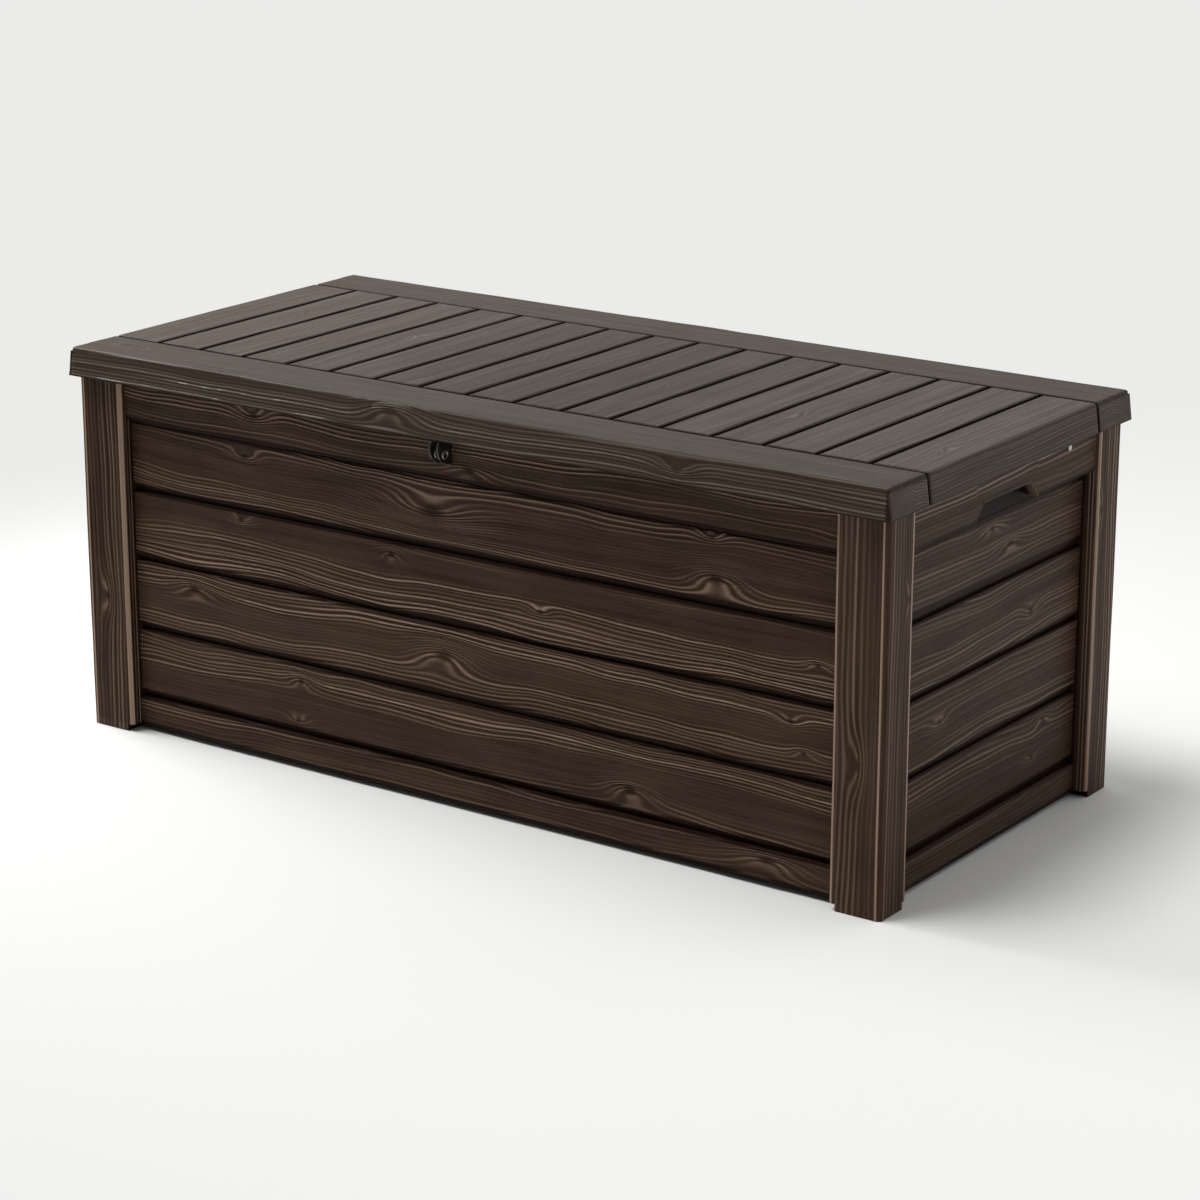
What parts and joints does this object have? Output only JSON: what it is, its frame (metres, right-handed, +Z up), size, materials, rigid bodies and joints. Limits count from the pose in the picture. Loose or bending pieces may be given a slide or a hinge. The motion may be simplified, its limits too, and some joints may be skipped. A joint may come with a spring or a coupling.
{
  "type": "deck storage box",
  "caption": "Long wood-look resin deck box on corner posts, with plank-faced sides, handle pockets, a slatted hinged lid on gas struts and a padlock hasp.",
  "frame": {"origin": "on the ground under the middle of the closed box's overall outline", "axes": "+X along the length to the right as seen from the front, +Y from front to rear, +Z up"},
  "size_m": [1.55, 0.744, 0.646],
  "materials": {
    "box_resin": "moulded wood grain, satin",
    "lid_resin": "moulded wood grain, satin",
    "floor_resin": "plain moulded, matt",
    "black_steel": "black powder coat",
    "zinc_steel": "zinc plated",
    "chrome_rod": "polished",
    "black_plastic": "moulded, matt"
  },
  "bodies": {
    "box": {"floor_panel": "floor_resin", "front_panel": "box_resin", "rear_panel": "box_resin", "left_panel": "box_resin", "right_panel": "box_resin", "post_front_left": "box_resin", "post_front_right": "box_resin", "post_rear_left": "box_resin", "post_rear_right": "box_resin", "hasp_box": "black_steel", "hasp_box_screw_1": "zinc_steel", "hasp_box_screw_2": "zinc_steel", "hinge_box_leaf_left": "black_steel", "hinge_box_leaf_middle": "black_steel", "hinge_box_leaf_right": "black_steel", "hinge_pin_left": "zinc_steel", "hinge_pin_middle": "zinc_steel", "hinge_pin_right": "zinc_steel", "strut_wall_bracket_left": "black_steel", "strut_wall_bracket_right": "black_steel", "strut_wall_stud_left": "zinc_steel", "strut_wall_stud_right": "zinc_steel", "header_screw_left": "zinc_steel", "header_screw_right": "zinc_steel"},
    "lid": {"lid_panel": "lid_resin", "lid_beam_front": "zinc_steel", "lid_beam_rear": "zinc_steel", "beam_clip_front_1": "black_plastic", "beam_clip_front_2": "black_plastic", "beam_clip_front_3": "black_plastic", "beam_clip_rear_1": "black_plastic", "beam_clip_rear_2": "black_plastic", "beam_clip_rear_3": "black_plastic", "hinge_lid_leaf_left": "black_steel", "hinge_lid_leaf_middle": "black_steel", "hinge_lid_leaf_right": "black_steel", "hasp_lid": "black_steel", "hasp_lid_screw_1": "zinc_steel", "hasp_lid_screw_2": "zinc_steel", "strut_lid_bracket_left": "black_steel", "strut_lid_bracket_right": "black_steel", "strut_lid_stud_left": "zinc_steel", "strut_lid_stud_right": "zinc_steel"},
    "strut_cylinder_left": {"strut_cylinder_left": "black_steel", "strut_lower_socket_left": "black_plastic"},
    "strut_rod_left": {"strut_rod_left": "chrome_rod", "strut_upper_socket_left": "black_plastic"},
    "strut_cylinder_right": {"strut_cylinder_right": "black_steel", "strut_lower_socket_right": "black_plastic"},
    "strut_rod_right": {"strut_rod_right": "chrome_rod", "strut_upper_socket_right": "black_plastic"}
  },
  "joints": [
    {"name": "lid_hinge", "type": "hinge", "parent": "box", "child": "lid", "pos_m": [0, 0.365, 0.59], "axis": [-1, 0, 0], "range_deg": [0, 70]},
    {"name": "strut_pivot_left", "type": "hinge", "parent": "box", "child": "strut_cylinder_left", "pos_m": [-0.715, 0.142, 0.386], "axis": [-1, 0, 0], "range_deg": [0, 4.6]},
    {"name": "strut_slide_left", "type": "slide", "parent": "strut_cylinder_left", "child": "strut_rod_left", "axis": [0, 0.5327, 0.8463], "range_m": [0, 0.0944]},
    {"name": "strut_pivot_right", "type": "hinge", "parent": "box", "child": "strut_cylinder_right", "pos_m": [0.715, 0.142, 0.386], "axis": [-1, 0, 0], "range_deg": [0, 4.6]},
    {"name": "strut_slide_right", "type": "slide", "parent": "strut_cylinder_right", "child": "strut_rod_right", "axis": [0, 0.5327, 0.8463], "range_m": [0, 0.0944]}
  ],
  "couplings": [
    {"joint": "strut_pivot_left", "follows": "lid_hinge", "ratio": 0.062902},
    {"joint": "strut_slide_left", "follows": "lid_hinge", "m_per_rad": 0.076847},
    {"joint": "strut_pivot_right", "follows": "lid_hinge", "ratio": 0.062902},
    {"joint": "strut_slide_right", "follows": "lid_hinge", "m_per_rad": 0.076847}
  ]
}
